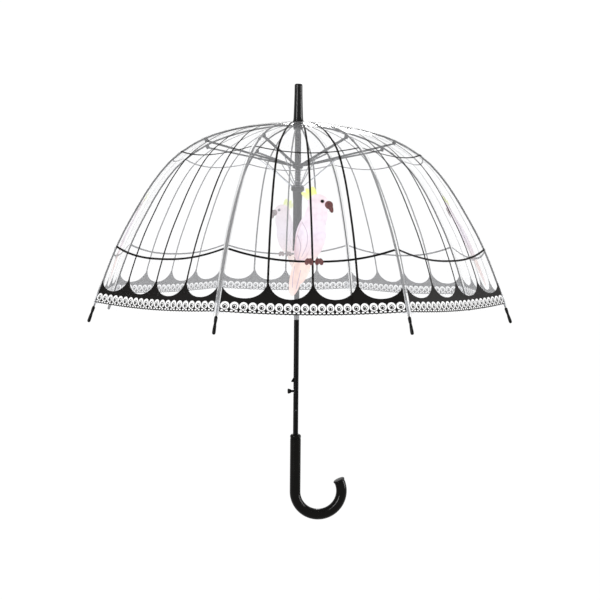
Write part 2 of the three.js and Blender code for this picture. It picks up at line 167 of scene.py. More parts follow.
def film_point(k, u, share, lift=0.0):
    """A point of panel k: u is -1 at its first rib and 1 at its second."""
    radius, height = PROFILE.at(share)
    t = PROFILE.tangent(share)
    chord = math.cos(HALF_GORE) * radius / math.cos(u * HALF_GORE)
    grow = min(1, radius / 0.06)
    r = radius + (chord - radius) * (1 - PANEL_BULGE) * grow
    drop = HEM_DROP * (1 - u * u) * max(0, (share - 0.75) / 0.25) ** 2
    a = rib_angle(k) + HALF_GORE + u * HALF_GORE
    out = r - t[1] * lift
    up = CROWN_Z + height + t[0] * lift - drop
    return np.array([out * math.cos(a), out * math.sin(a), up])


def film_normal(k, u, share):
    """The film's outward direction."""
    e = 0.004
    across = film_point(k, min(1, u + e), share) - film_point(k, max(-1, u - e), share)
    down = film_point(k, u, min(1, share + e)) - film_point(k, u, max(0, share - e))
    n = np.cross(down, across)
    return n / max(1e-12, np.linalg.norm(n))


def half_width(share):
    """Half the distance between two ribs at that share."""
    return PROFILE.at(share)[0] * math.sin(HALF_GORE)


# ---- meshes ----
def new_object(name, vertices, faces, materials, ids=None, uv=None, normals=None):
    """A mesh object whose faces take the listed materials, smooth shaded."""
    mesh = bpy.data.meshes.new(name)
    mesh.from_pydata([tuple(v) for v in vertices], [], [tuple(f) for f in faces])
    for m in materials:
        mesh.materials.append(m)
    if ids is not None:
        mesh.polygons.foreach_set("material_index", ids)
    mesh.shade_smooth()
    if uv is not None:
        layer = mesh.uv_layers.new(name="panel")
        for loop in mesh.loops:
            layer.data[loop.index].uv = uv[loop.vertex_index]
    if normals is not None:
        mesh.normals_split_custom_set_from_vertices([tuple(n) for n in normals])
    mesh.update()
    made = bpy.data.objects.new(name, mesh)
    bpy.context.scene.collection.objects.link(made)
    return made


def lathe(name, profile, material, segments=64, corner=32):
    """A turned piece about Z from (radius, height) points that close on themselves."""
    n = len(profile)
    vertices, faces = [], []
    for r, z in profile:
        for k in range(segments):
            a = 2 * math.pi * k / segments
            vertices.append((r * math.cos(a), r * math.sin(a), z))
    for i in range(n):
        for k in range(segments):
            a, b = i * segments + k, i * segments + (k + 1) % segments
            c, d = ((i + 1) % n) * segments + (k + 1) % segments, ((i + 1) % n) * segments + k
            faces.append((a, b, c, d))
    made = new_object(name, vertices, faces, [material])
    tidy_solid(made, corner)
    return made


def tidy_solid(made, corner):
    """Merges the points on the axis, turns the faces outward and keeps real corners sharp."""
    bm = bmesh.new()
    bm.from_mesh(made.data)
    bmesh.ops.remove_doubles(bm, verts=bm.verts, dist=1e-6)
    bmesh.ops.dissolve_degenerate(bm, edges=bm.edges, dist=1e-7)
    bmesh.ops.recalc_face_normals(bm, faces=bm.faces)
    bm.to_mesh(made.data)
    bm.free()
    made.data.shade_smooth()
    made.data.set_sharp_from_angle(angle=math.radians(corner))


def rounded(profile, radius=0.0004, steps=3):
    """Breaks the corners of a profile with small arcs."""
    out = []
    n = len(profile)
    for i in range(n):
        a, b, c = (np.array(profile[(i + d) % n], float) for d in (-1, 0, 1))
        ab, cb = a - b, c - b
        la, lc = np.linalg.norm(ab), np.linalg.norm(cb)
        if b[0] < 1e-9 or la < 1e-9 or lc < 1e-9:
            out.append(tuple(b))
            continue
        cut = min(radius, la * 0.4, lc * 0.4)
        p, q = b + ab / la * cut, b + cb / lc * cut
        for s in np.linspace(0, 1, steps + 1):
            out.append(tuple((1 - s) ** 2 * p + 2 * s * (1 - s) * b + s * s * q))
    return out


def raised(profile, height):
    return [(r, z + height) for r, z in profile]


def place(made, origin, direction):
    """Turns a piece's own Z to direction and moves it to origin, in its mesh."""
    turn = Vector((0, 0, 1)).rotation_difference(Vector(direction)).to_matrix().to_4x4()
    turn.translation = Vector(origin)
    made.data.transform(turn)
    return made


# ---- materials ----
def srgb(code):
    """Linear colour from a six-digit colour code."""
    values = [int(code[k:k + 2], 16) / 255 for k in (0, 2, 4)]
    linear = [v / 12.92 if v <= 0.04045 else ((v + 0.055) / 1.055) ** 2.4 for v in values]
    return (*linear, 1.0)


def toned(colour, shares):
    """The colour with each channel multiplied by its share."""
    return (*[channel * share for channel, share in zip(colour, shares)], 1.0)


class Field:
    """A number that varies over a surface. An expression on it adds Math nodes."""

    def __init__(self, finish, socket):
        self.finish = finish
        self.socket = socket

    def math(self, operation, *values):
        node = self.finish.node("ShaderNodeMath", {"operation": operation}, dict(enumerate(values)))
        return Field(self.finish, node.outputs[0])

    def __add__(self, other):
        return self.math("ADD", self, other)

    def __radd__(self, other):
        return self.math("ADD", other, self)

    def __sub__(self, other):
        return self.math("SUBTRACT", self, other)

    def __rsub__(self, other):
        return self.math("SUBTRACT", other, self)

    def __mul__(self, other):
        return self.math("MULTIPLY", self, other)

    def __rmul__(self, other):
        return self.math("MULTIPLY", other, self)


class Finish:
    """One material and its nodes."""

    def __init__(self, name, **uniform):
        self.material = bpy.data.materials.new(name)
        self.material.use_nodes = True
        self.tree = self.material.node_tree
        self.shader = self.tree.nodes["Principled BSDF"]
        for key, value in uniform.items():
            socket = key.replace("_", " ").title().replace("Ior", "IOR")
            self.shader.inputs[socket].default_value = value

    def node(self, kind, settings=(), inputs=()):
        """A node of a type, its settings first and then its sockets."""
        made = self.tree.nodes.new(kind)
        for key, value in dict(settings).items():
            if key == "stops":
                self.set_stops(made.color_ramp, value)
            else:
                setattr(made, key, value)
        for key, value in dict(inputs).items():
            self.feed(made.inputs[key], value)
        return made

    def set_stops(self, ramp, stops):
        while len(ramp.elements) < len(stops):
            ramp.elements.new(0.5)
        for element, (position, colour) in zip(ramp.elements, stops):
            element.position = position
            element.color = colour

    def feed(self, socket, value):
        if isinstance(value, Field):
            value = value.socket
        if isinstance(value, bpy.types.NodeSocket):
            self.tree.links.new(value, socket)
        else:
            socket.default_value = value

    def set(self, name, value):
        self.feed(self.shader.inputs[name], value)
        return self

    def coordinates(self, kind="Object", stretch=(1, 1, 1)):
        """Coordinates of the surface, stretched."""
        where = self.node("ShaderNodeTexCoord").outputs[kind]
        scaled = self.node("ShaderNodeVectorMath", {"operation": "MULTIPLY"},
                           {0: where, 1: stretch})
        return scaled.outputs[0]

    def noise(self, where, scale, detail=3.0, roughness=0.55):
        node = self.node("ShaderNodeTexNoise", inputs={
            "Vector": where, "Scale": scale, "Detail": detail, "Roughness": roughness})
        return Field(self, node.outputs["Fac"])

    def cells(self, where, scale):
        """Distance to the nearest cell centre."""
        node = self.node("ShaderNodeTexVoronoi", {"feature": "F1"},
                         {"Vector": where, "Scale": scale})
        return Field(self, node.outputs["Distance"])

    def axis(self, where, name):
        return Field(self, self.node("ShaderNodeSeparateXYZ", inputs={0: where}).outputs[name])

    def blend(self, share, first, second, mode="MIX"):
        node = self.node("ShaderNodeMix", {"data_type": "RGBA", "blend_type": mode},
                         {0: share, 6: first, 7: second})
        return node.outputs[2]

    def ramp(self, share, stops):
        return self.node("ShaderNodeValToRGB", {"stops": stops}, {0: share}).outputs[0]

    def bump(self, height, strength, distance):
        node = self.node("ShaderNodeBump", inputs={
            "Height": height, "Strength": strength, "Distance": distance})
        return self.set("Normal", node.outputs[0])


def clamp01(field):
    """The field kept between 0 and 1."""
    return field.math("MINIMUM", field.math("MAXIMUM", field, 0.0), 1.0)


def black_paint(colour):
    """Baked black paint on steel: slight orange peel and darker patches at random."""
    f = Finish("black_painted_steel", specular_ior_level=0.05)
    where = f.coordinates()
    broad = f.noise(where, 38, 4)
    f.set("Base Color", f.blend(broad, toned(colour, PAINT_DARK), colour[:]))
    f.set("Roughness", 0.26 + 0.22 * f.noise(where, 90, 3))
    f.bump(f.noise(where, 900, 2), 0.12, 0.0002)
    return f.material


def bright_steel():
    """Drawn zinc-plated steel, streaked along the wire."""
    f = Finish("bright_steel", metallic=1.0)
    streaks = f.noise(f.coordinates(stretch=(1, 1, 0.08)), 1400, 3)
    stains = f.noise(f.coordinates(), 60, 4)
    f.set("Base Color", f.blend(stains, srgb("4c4e52"), srgb("85878b")))
    f.set("Roughness", 0.22 + 0.28 * streaks)
    f.bump(streaks, 0.2, 0.00015)
    return f.material


def black_plastic(name, colour, gloss):
    """Moulded glossy black plastic with faint flow marks."""
    f = Finish(name, specular_ior_level=gloss)
    where = f.coordinates()
    marks = f.noise(f.coordinates(stretch=(1, 1, 0.3)), 120, 5)
    f.set("Base Color", f.blend(marks, toned(colour, PLASTIC_DARK), colour[:]))
    f.set("Roughness", 0.1 + 0.14 * f.noise(where, 55, 4))
    f.bump(f.noise(where, 420, 3), 0.04, 0.0002)
    return f.material


def handle_plastic(colour):
    """Polished grip: soft waviness and handling marks in the gloss."""
    f = Finish("handle_plastic", specular_ior_level=0.085)
    where = f.coordinates()
    f.set("Base Color", f.blend(f.noise(where, 30, 3), toned(colour, GRIP_DARK), colour[:]))
    rubbed = clamp01(f.noise(where, 24, 5) * 2.2 - 0.7)
    f.set("Roughness", 0.1 + 0.1 * rubbed + 0.04 * f.noise(where, 600, 2))
    f.bump(f.noise(where, 70, 3) + 0.05 * f.noise(where, 700, 2), 0.06, 0.0004)
    return f.material


def clear_film(name, veil, colour):
    """Clear vinyl sheet with soft ripples."""
    f = Finish(name, alpha=veil, roughness=0.12, ior=1.53, base_color=colour[:])
    where = f.coordinates()
    ripples = f.noise(where, 16, 2) + 0.2 * f.noise(where, 70, 2)
    f.bump(ripples, 0.35, 0.004)
    return f.material


def ink(name, dark, light, alpha):
    """Screen-printed ink: a slightly uneven, thin layer."""
    f = Finish(name, alpha=alpha, specular_ior_level=0.06)
    where = f.coordinates()
    f.set("Base Color", f.blend(f.noise(where, 85, 4), dark, light))
    f.set("Roughness", 0.5 + 0.15 * f.noise(where, 400, 2))
    f.bump(f.noise(where, 1500, 2), 0.08, 0.0001)
    return f.material


def plumage(name, colours, alpha, edge="d9cbd8", feathers=26.0):
    """Printed feathers: colour runs down the panel, with soft scalloped feather edges."""
    f = Finish(name, alpha=alpha, specular_ior_level=0.15, roughness=0.5)
    panel = f.coordinates("UV")
    down = f.axis(panel, 1)
    run = f.ramp(down + 0.03 * (f.noise(panel, 9, 3) - 0.5), colours)
    rows = f.cells(f.coordinates("UV", (1.1, 2.3, 1)), feathers)
    soft = clamp01(rows * 1.5 - 0.55)
    tinted = f.blend(0.4 * soft, run, srgb(edge), "MULTIPLY")
    streaks = f.noise(f.coordinates("UV", (9, 1, 1)), 22, 4)
    f.set("Base Color", f.blend(clamp01(streaks * 1.6 - 0.8) * 0.5, tinted, srgb("fffafc")))
    return f.material


def horn(name, dark, light):
    """Printed beak and claws, mottled."""
    f = Finish(name, alpha=0.95, specular_ior_level=0.2, roughness=0.5)
    panel = f.coordinates("UV", (1, 3.7, 1))
    mottle = f.noise(panel, 60, 4)
    f.set("Base Color", f.ramp(mottle, [(0.35, srgb(dark)), (0.62, srgb(light))]))
    return f.material


MATERIALS = {}


def finish(name):
    """The finish of that name, made once."""
    if not MATERIALS:
        make_finishes(bpy.context.scene.umbrella_finish)
    return MATERIALS[name]


def stops(*pairs):
    """Ramp stops from (position, colour code) pairs."""
    return [(position, srgb(code)) for position, code in pairs]


BODY_STOPS = stops((0.60, "f3e2e4"), (0.68, "f1e3ec"), (0.75, "efe4f1"),
                   (0.81, "eddbe2"), (0.85, "f5dcd2"), (0.92, "f7dfd9"))
SHADE_STOPS = stops((0.6, "e6d3da"), (0.9, "e2cbd2"))
CREST_STOPS = stops((0.58, "eef69c"), (0.62, "ecf494"), (0.64, "f3f6c4"))


def make_finishes(options):
    veil, ink_colour = options.film_veil, options.ink_colour[:]
    plastic = options.plastic_colour
    MATERIALS.update({
        "paint": black_paint(options.frame_colour),
        "steel": bright_steel(),
        "plastic": black_plastic("black_plastic", plastic, 0.06),
        "polished": black_plastic("polished_black_plastic", plastic, 0.16),
        "grip": handle_plastic(options.grip_colour),
        "film": clear_film("clear_pvc_film", veil, options.film_colour),
        "seam": clear_film("welded_seam", veil * 0.5, srgb("ffffff")),
        "weld": clear_film("pressed_weld", 0.55, srgb("6f7176")),
        "patch": clear_film("rib_pocket_film", 0.3, srgb("c9ccd2")),
        "black": ink("black_ink", toned(ink_colour, INK_DARK), ink_colour, 0.996),
        "white": ink("white_ink", srgb("f4f4f4"), srgb("ffffff"), 0.97),
        "line": ink("feather_line_ink", srgb("b9a9ba"), srgb("cfc1cf"), 0.9),
        "feathers": plumage("feather_print", BODY_STOPS, 0.9),
        "shade": plumage("shaded_feather_print", SHADE_STOPS, 0.9),
        "crest": plumage("crest_print", CREST_STOPS, 0.94, "eef2b0", 30.0),
        "horn": horn("beak_and_claw_print", "3f1717", "6d3434"),
    })


# ---- the print of one panel, drawn as (across, down) shares ----
# A plain perched bird built from ovals, in millimetres from the middle of the perch:
# ink, x, y downward, half width, half height, lean to the right in degrees.
PERCH = 0.8395
BIRD_OVALS = [
    ("crest", -4, -117, 5, 14, -52), ("crest", 0, -122, 5, 14, -30),
    ("crest", 6, -125, 5, 13, -8),
    ("feathers", -27, 22, 10, 34, 14), ("feathers", -17, 8, 13, 30, 16),
    ("feathers", -2, -44, 25, 46, 12), ("feathers", 9, -82, 19, 28, 8),
    ("feathers", 13, -105, 18, 18, 0),
    ("shade", -13, -38, 14, 42, 14), ("feathers", -11, -43, 13, 40, 14),
    ("horn", 31, -102, 7, 8, 0), ("horn", 34, -96, 4, 9, -12),
    ("shade", 20, -109, 5, 5, 0), ("black", 20, -109, 3.2, 3.2, 0),
]
BIRD_FEET = [
    ("horn", -9, 0, 4, 6, 20), ("horn", -3, 0, 4, 6, -12),
    ("horn", 8, 0, 4, 6, 14), ("horn", 14, 0, 4, 6, -16),
]
BIRD_LINES = [
    [(-16, -70), (-8, -50), (-9, -28), (-18, -8)],
    [(-24, -46), (-19, -26), (-24, -4)],
    [(-30, 8), (-33, 26), (-34, 42)],
    [(-20, 14), (-24, 30), (-28, 44)],
]
# the side bars: share down, share across
BAR_PATH = [
    (0.03, 0.44), (0.1, 0.46), (0.2, 0.49), (0.31, 0.515), (0.42, 0.55), (0.53, 0.545),
    (0.68, 0.53), (0.83, 0.512), (0.95, 0.5),
]
UPPER_RING = 0.4635
HEM_HALF = 0.153     # half a panel's width at the hem
DOWN_UNITS = 3.72    # the rib's length in half panel widths


def ribbon(path, width):
    """A strip of that width in metres along (across, down) points."""
    left, right = [], []
    for i, (u, s) in enumerate(path):
        a, b = path[max(0, i - 1)], path[min(len(path) - 1, i + 1)]
        local = max(0.004, half_width(s))
        du, ds = (b[0] - a[0]) * local, (b[1] - a[1]) * PROFILE.length
        long = math.hypot(du, ds) or 1
        w = width / 2
        left.append((u - w * ds / long / local, s + w * du / long / PROFILE.length))
        right.append((u + w * ds / long / local, s - w * du / long / PROFILE.length))
    return left + right[::-1]


def disc(u, s, radius, sides=20, shift=(0, 0)):
    """A round dot near the hem; radius and shift in metres."""
    loop = []
    for k in range(sides):
        a = 2 * math.pi * k / sides
        loop.append((u + (shift[0] + radius * math.cos(a)) / HEM_HALF,
                     s + (shift[1] + radius * math.sin(a)) / HEM_HALF / DOWN_UNITS))
    return loop


def seam_edge(s):
    """Share across at which the welded seam starts."""
    return 1 - SEAM / max(0.005, half_width(s))


def pocket_edge(s):
    """Share across at which the rib pocket starts."""
    return 1 - POCKET / half_width(s)


def bar_shapes(width):
    """Three cage bars: one down the middle and one each side."""
    samples = smooth_line(BAR_PATH, 6)
    return [("black", ribbon([(side * u, s) for s, u in samples], width)) for side in (-1, 0, 1)]


def ring_shapes(upper_width, perch_width):
    """The two sagging rings round the cage."""
    shapes = []
    for low, sag, power, width in ((UPPER_RING, 0.034, 2.0, upper_width),
                                   (PERCH, 0.0385, 2.4, perch_width)):
        edge = seam_edge(low)
        path = [(u, low - sag * abs(u) ** power) for u in np.linspace(-edge, edge, 33)]
        shapes.append(("black", ribbon(path, width)))
    return shapes


def scallop_height(u):
    """Top edge of the black band: four hanging loops that rise to a point at each bar."""
    x = abs(((u + 1) * 2) % 1 * 2 - 1)
    return 0.886 + 0.0605 * max(0.0, 1 - x ** 2.15) ** (1 / 2.15)


def band_shapes():
    """The black band with its scalloped top."""
    edge = seam_edge(0.95)
    marks = []
    for loop in range(4):
        for t in np.linspace(0, math.pi, 25)[:-1 if loop < 3 else None]:
            marks.append(-1 + 0.5 * loop + 0.25 * (1 - math.cos(t)))
    top = [(max(-edge, min(edge, u)), scallop_height(max(-edge, min(edge, u)))) for u in marks]
    top = [p for i, p in enumerate(top) if i == 0 or abs(p[0] - top[i - 1][0]) > 1e-6]
    bottom = [(u, 0.987) for u in np.linspace(edge, -edge, 43)]
    return [("black", top + bottom)]


def lace_shapes():
    """The row of swirled rings and the row of half dots under it."""
    shapes = []
    pitch = 0.0926
    for i in range(-10, 11):
        u = i * pitch
        shapes.append(("white", disc(u, 0.9690, 0.0067, 26)))
        shapes.append(("black", disc(u, 0.9690, 0.0040, 18, (0.0003, 0.0007))))
        shapes.append(("white", disc(u, 0.9690, 0.0027, 14, (0.0005, 0.0006))))
        shapes.append(("black", disc(u, 0.9690, 0.0020, 12, (0.0001, 0.0011))))
        for half in (-0.25, 0.25):
            shapes.append(("black", disc(u + half * pitch, 0.9832, 0.0031, 12)))
            shapes.append(("white", disc(u + half * pitch, 0.9838, 0.0022, 12)))
    edge = seam_edge(0.985)
    low = [(u, 0.9845) for u in np.linspace(-edge, edge, 43)] + [(edge, 0.9872), (-edge, 0.9872)]
    shapes.append(("black", low))
    return shapes


def bird_point(x, y):
    """Shares of the panel for a point in millimetres from the middle of the perch."""
    down = PERCH + y / 1000 / PROFILE.length
    return x / 1000 / half_width(down), down


def oval(x, y, half_wide, half_high, lean, sides=32):
    """An oval of the bird."""
    turn = math.radians(lean)
    loop = []
    for a in np.arange(sides) * 2 * math.pi / sides:
        across, up = half_wide * math.cos(a), half_high * math.sin(a)
        loop.append(bird_point(x + across * math.cos(turn) + up * math.sin(turn),
                               y + across * math.sin(turn) - up * math.cos(turn)))
    return loop


def bird_shapes():
    """The bird's shapes behind the perch, and its feet in front of it."""
    below = [(ink_name, oval(*sizes)) for ink_name, *sizes in BIRD_OVALS]
    for line in BIRD_LINES:
        path = [bird_point(*p) for p in smooth_line(line, 4)]
        below.append(("line", ribbon(path, 0.0012)))
    return below, [(ink_name, oval(*sizes, 16)) for ink_name, *sizes in BIRD_FEET]


def counter_clockwise(loop):
    """The loop in the direction that the triangulation reads as filled."""
    turn = sum(a[0] * b[1] - b[0] * a[1] for a, b in zip(loop, loop[1:] + loop[:1]))
    return loop if turn > 0 else loop[::-1]


def densified(loop):
    """Adds points along long edges, so that the print follows the curved film."""
    out = []
    for a, b in zip(loop, loop[1:] + loop[:1]):
        n = max(1, math.ceil(max(abs(b[0] - a[0]) / 0.05, abs(b[1] - a[1]) / 0.013)))
        out += [(a[0] + (b[0] - a[0]) * i / n, a[1] + (b[1] - a[1]) * i / n) for i in range(n)]
    return out


def panel_print(options, with_bird):
    """Triangles of the print: points as (across, down) and the ink of each triangle."""
    below, above = bird_shapes() if with_bird else ([], [])
    shapes = [*below, *band_shapes(), *bar_shapes(options.bar_width),
              *ring_shapes(options.upper_ring_width, options.perch_width), *lace_shapes(), *above]
    points, faces = [], []
    for _, loop in shapes:
        loop = densified(counter_clockwise(loop))
        faces.append(list(range(len(points), len(points) + len(loop))))
        points += loop
    middle = [(0, s) for s in np.linspace(0.01, 1, 90)]
    knuckles = [(u, SPLIT) for u in np.linspace(-1, 1, 41)]
    edges = []
    for line in (middle, knuckles):
        edges += [(len(points) + i, len(points) + i + 1) for i in range(len(line) - 1)]
        points += line
    points += [(u, s) for u in np.arange(-0.95, 0.96, 0.076) + 0.004
               for s in np.arange(0.59, 0.95, 0.017)]
    flat = [Vector((u, s * DOWN_UNITS)) for u, s in points]
    out, _, triangles, _, _, owners = delaunay_2d_cdt(flat, edges, faces, 0, 1e-7, True)
    found = [(u, s / DOWN_UNITS) for u, s in out]
    kept = [(t, shapes[max(o)][0]) for t, o in zip(triangles, owners) if o]
    return found, kept


# ---- canopy ----
INKS = ["film", "seam", "weld", "patch", "black", "white", "feathers", "shade", "line", "crest",
        "horn"]


class PanelPiece:
    """Half of one panel, above or below the ribs' knuckles, gathered before it becomes a mesh."""

    def __init__(self, k, side, outer):
        self.k = k
        self.side = side
        self.outer = outer
        self.points, self.normals, self.uv, self.faces, self.ids = [], [], [], [], []
        self.index = {}

    def point(self, u, s, lift):
        """Index of the film point, added once."""
        key = (round(u, 6), round(s, 6), lift)
        if key not in self.index:
            self.index[key] = len(self.points)
            self.points.append(film_point(self.k, u, s, lift))
            self.normals.append(film_normal(self.k, u, s))
            self.uv.append((u * 0.5 + 0.5, s))
        return self.index[key]

    def face(self, corners, lift, material):
        """A face that looks outward."""
        f = [self.point(u, s, lift) for u, s in corners]
        if len(set(f)) < 3:
            return
        a, b, c = (self.points[i] for i in f[:3])
        n = np.cross(b - a, c - a)
        if n @ self.normals[f[0]] < 0:
            f.reverse()
        self.faces.append(f)
        self.ids.append(INKS.index(material))

    def grid(self, across, down, lift, material):
        for i in range(len(across) - 1):
            for j in range(len(down) - 1):
                u0, u1, s0, s1 = across[i], across[i + 1], down[j], down[j + 1]
                self.face([(u0, s0), (u0, s1), (u1, s1), (u1, s0)], lift, material)

    def strip(self, down, inner_edge, lift, material):
        """A strip beside the rib, from the rib to inner_edge(share)."""
        for s0, s1 in zip(down, down[1:]):
            a, b = inner_edge(s0), inner_edge(s1)
            self.face([(self.side * a, s0), (self.side * b, s1), (self.side, s1), (self.side, s0)],
                      lift, material)

    def weld(self, down):
        """The heat-pressed line along the edge of the seam."""
        for s0, s1 in zip(down, down[1:]):
            if s0 > 0.02:
                corners = []
                for s, wide in ((s0, 0), (s1, 0), (s1, 1), (s0, 1)):
                    edge = seam_edge(s) + wide * WELD_WIDTH / half_width(s)
                    corners.append((self.side * edge, s))
                self.face(corners, WELD_LIFT, "weld")

    def area(self):
        """Area of the film alone."""
        total = 0.0
        for f, m in zip(self.faces, self.ids):
            if INKS[m] == "film":
                p = [self.points[i] for i in f]
                for b, c in zip(p[1:], p[2:]):
                    total += np.linalg.norm(np.cross(b - p[0], c - p[0])) / 2
        return float(total)

    def build(self, name):
        return new_object(name, self.points, self.faces, [finish(m) for m in INKS],
                          self.ids, self.uv, self.normals)


def panel_piece(k, side, outer, found, kept):
    """The film, welds and print of half a panel."""
    piece = PanelPiece(k, side, outer)
    low, high = (SPLIT, 1.0) if outer else (0.0, SPLIT)
    down = list(np.linspace(low, high, 38 if outer else 24))
    across = list(np.linspace(-1, 0, 10) if side < 0 else np.linspace(0, 1, 10))
    piece.grid(across, down, 0.0, "film")
    piece.strip(down, seam_edge, SEAM_LIFT, "seam")
    if outer:
        piece.grid(across, list(np.linspace(0.9885, 1, 3)), TAPE_LIFT, "seam")
        piece.strip(list(np.linspace(0.955, 0.992, 4)), pocket_edge, WELD_LIFT, "patch")
    piece.weld(down)
    for triangle, material in kept:
        corners = [found[i] for i in triangle]
        u = sum(c[0] for c in corners) / 3
        s = sum(c[1] for c in corners) / 3
        if (u < 0) == (side < 0) and (s > SPLIT) == outer and s < 1:
            piece.face(corners, PRINT_LIFT, material)
    return piece


def fold_axis(k, side, outer):
    """A direction across half a panel, square to its rib, and a point on that rib."""
    middle = rib_angle(k) + HALF_GORE
    across = Vector((-math.sin(middle), math.cos(middle), 0))
    a = rib_angle(k if side < 0 else k + 1)
    low, high = (SPLIT, 1.0) if outer else (0.05, SPLIT)
    ends = [Vector((r * math.cos(a), r * math.sin(a), CROWN_Z + z))
            for r, z in (PROFILE.at(low), PROFILE.at((low + high) / 2), PROFILE.at(high))]
    along = (ends[2] - ends[0]).normalized()
    axis = (across - along * across.dot(along)).normalized()
    return axis, (ends[0] + ends[2]) * 0.25 + ends[1] * 0.5


# ---- property groups ----
def length_property(name, description, default, lowest=0.0):
    return bpy.props.FloatProperty(name=name, description=description, default=default,
                                   min=lowest, unit="LENGTH", precision=4)


def colour_property(name, description, code):
    return bpy.props.FloatVectorProperty(name=name, description=description, default=srgb(code),
                                         size=4, min=0.0, max=1.0, subtype="COLOR")


class UmbrellaCanopySettings(bpy.types.PropertyGroup):
    """The print's sizes, the birds and two gather shares"""
    bar_width: length_property("Bar width", "Width of the printed cage bars", 0.0035)
    upper_ring_width: length_property("Upper ring", "Width of the ring near the top", 0.0028)
    perch_width: length_property("Perch ring", "Width of the ring that the birds stand on", 0.0035)
    gather_top: bpy.props.FloatProperty(
        name="Gather above the knuckles",
        description="Share of the upper film's width left when closed",
        default=0.3, min=0.05, max=1.0, subtype="FACTOR")
    gather: bpy.props.FloatProperty(
        name="Gather below the knuckles",
        description="Share of the lower film's width left when closed",
        default=0.24, min=0.05, max=1.0, subtype="FACTOR")
    birds: bpy.props.BoolProperty(
        name="Birds", description="Print a perched bird on every second panel", default=True)


class UmbrellaFinishSettings(bpy.types.PropertyGroup):
    """Colours of the film, the ink and the frame"""
    film_colour: colour_property("Film", "Tint of the clear film", "f7f8fb")
    ink_colour: colour_property("Ink", "Colour of the black print", "0f0c0a")
    frame_colour: colour_property("Frame", "Paint of the ribs and the shaft", "0d0d0d")
    plastic_colour: colour_property("Fittings", "Plastic of tips, ferrule and runners", "0c0c0c")
    grip_colour: colour_property("Handle", "Plastic of the hook handle", "0b0a08")
    film_veil: bpy.props.FloatProperty(
        name="Film veil", description="How much the clear film whitens what is behind it",
        default=0.19, min=0.0, max=1.0, subtype="FACTOR")


class UmbrellaHandleSettings(bpy.types.PropertyGroup):
    """Sizes of the hook handle"""
    grip_radius: length_property("Grip radius", "Radius of the hook's round bar", 0.0105, 0.006)


class UmbrellaStageSettings(bpy.types.PropertyGroup):
    """The floor and the lights"""
    floor_height: bpy.props.FloatProperty(
        name="Floor height", description="Height of the floor under the held umbrella",
        default=-0.75, unit="LENGTH")
    key_power: bpy.props.FloatProperty(
        name="Key light", description="Power of the main light", default=16.0, unit="POWER")
    strip_power: bpy.props.FloatProperty(
        name="Strip lights", description="Power of the tall lights that streak the gloss",
        default=80.0, unit="POWER")
    surround: bpy.props.FloatProperty(
        name="Surround", description="Brightness of the pale surround", default=1.0, min=0.0)


# ---- operators ----
FRAME_FINISHES = {
    "paint": ("inner_rib", "outer_rib", "stretcher", "shaft_tube", "catch_lever"),
    "steel": ("pull_wire", "stop_pin", "opening_spring", "catch_pin"),
    "plastic": ("crown", "upper_runner", "lower_runner", "rib_tip", "push_button", "ferrule"),
    "grip": ("handle",),
    "film": ("canopy_film",),
}


class UMBRELLA_OT_canopy(bpy.types.Operator):
    """Makes the film panels with their welds and print"""
    bl_idname = "umbrella.canopy"
    bl_label = "Canopy"

    def execute(self, context):
        options = context.scene.umbrella_canopy
        prints = {bird: panel_print(options, bird) for bird in (False, True)}
        first = None
        for k in range(RIBS):
            bird = options.birds and k % 2 == 1
            found, kept = prints[bird]
            for side, hand in ((-1, "left"), (1, "right")):
                rib = (k if side < 0 else (k + 1) % RIBS) + 1
                for outer, part in ((False, "upper"), (True, "lower")):
                    piece = panel_piece(k, side, outer, found, kept)
                    made = piece.build(f"film_panel_{k + 1}_{hand}_{part}")
                    keep = options.gather if outer else options.gather_top
                    self.attach(made, piece, rib, keep)
                    first = first or made
        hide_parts("canopy_film")
        return {"FINISHED"}

    def attach(self, made, piece, rib, keep):
        axis, anchor = fold_axis(piece.k, piece.side, piece.outer)
        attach(made, f"rib_end_{rib}" if piece.outer else f"rib_{rib}")
        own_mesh(made)
        width = half_width(1.0) if piece.outer else half_width(SPLIT)
        length = PROFILE.length * ((1 - SPLIT) if piece.outer else SPLIT)
        area = min(piece.area(), width * length)


class UMBRELLA_OT_frame(bpy.types.Operator):
    """Gives the ribs, stretchers, wires and runners their finishes"""
    bl_idname = "umbrella.frame"
    bl_label = "Frame finishes"

    def execute(self, context):
        for name, node in frame["nodes"].items():
            kind = self.kind(name)
            for slot in node.material_slots:
                slot.material = finish(kind)
        return {"FINISHED"}

    def kind(self, name):
        """The finish of a CAD piece, from the start of its name."""
        if "tie_wire" in name:
            return "steel"
        for kind, starts in FRAME_FINISHES.items():
            if name.startswith(starts):
                return kind
        raise RuntimeError(f"no finish for {name}")


class UMBRELLA_OT_ferrule(bpy.types.Operator):
    """Turns the ferrule on top of the shaft and the ring that clamps the film"""
    bl_idname = "umbrella.ferrule"
    bl_label = "Ferrule"

    def execute(self, context):
        profile = [(0, 0.0735), (0.0058, 0.0735), (0.0069, 0.0729), (0.0074, 0.0716),
                   (0.0076, 0.0695), (0.0077, 0.055), (0.0084, 0.03), (0.0091, 0.0104),
                   (0.0095, 0.0058), (0.0103, 0.0038), (0.0104, 0.0030), (0.0102, 0.0025),
                   (TUBE_HOLE, 0.0025), (TUBE_HOLE, 0.0405), (0, 0.0405)]
        made = lathe("ferrule_cap", raised(rounded(profile), CROWN_Z), finish("polished"))
        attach(made, "shaft")
        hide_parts("ferrule")
        clamp = [(TUBE_HOLE, 0.0024), (0.0098, 0.0024), (0.0098, 0.0009), (0.0055, 0.0009),
                 (0.0055, -0.0004), (0.0098, -0.0004), (0.0098, -0.0012), (TUBE_HOLE, -0.0012)]
        ring = lathe("film_clamp_ring", raised(rounded(clamp, 0.0002), CROWN_Z), finish("plastic"))
        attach(ring, "shaft")
        return {"FINISHED"}


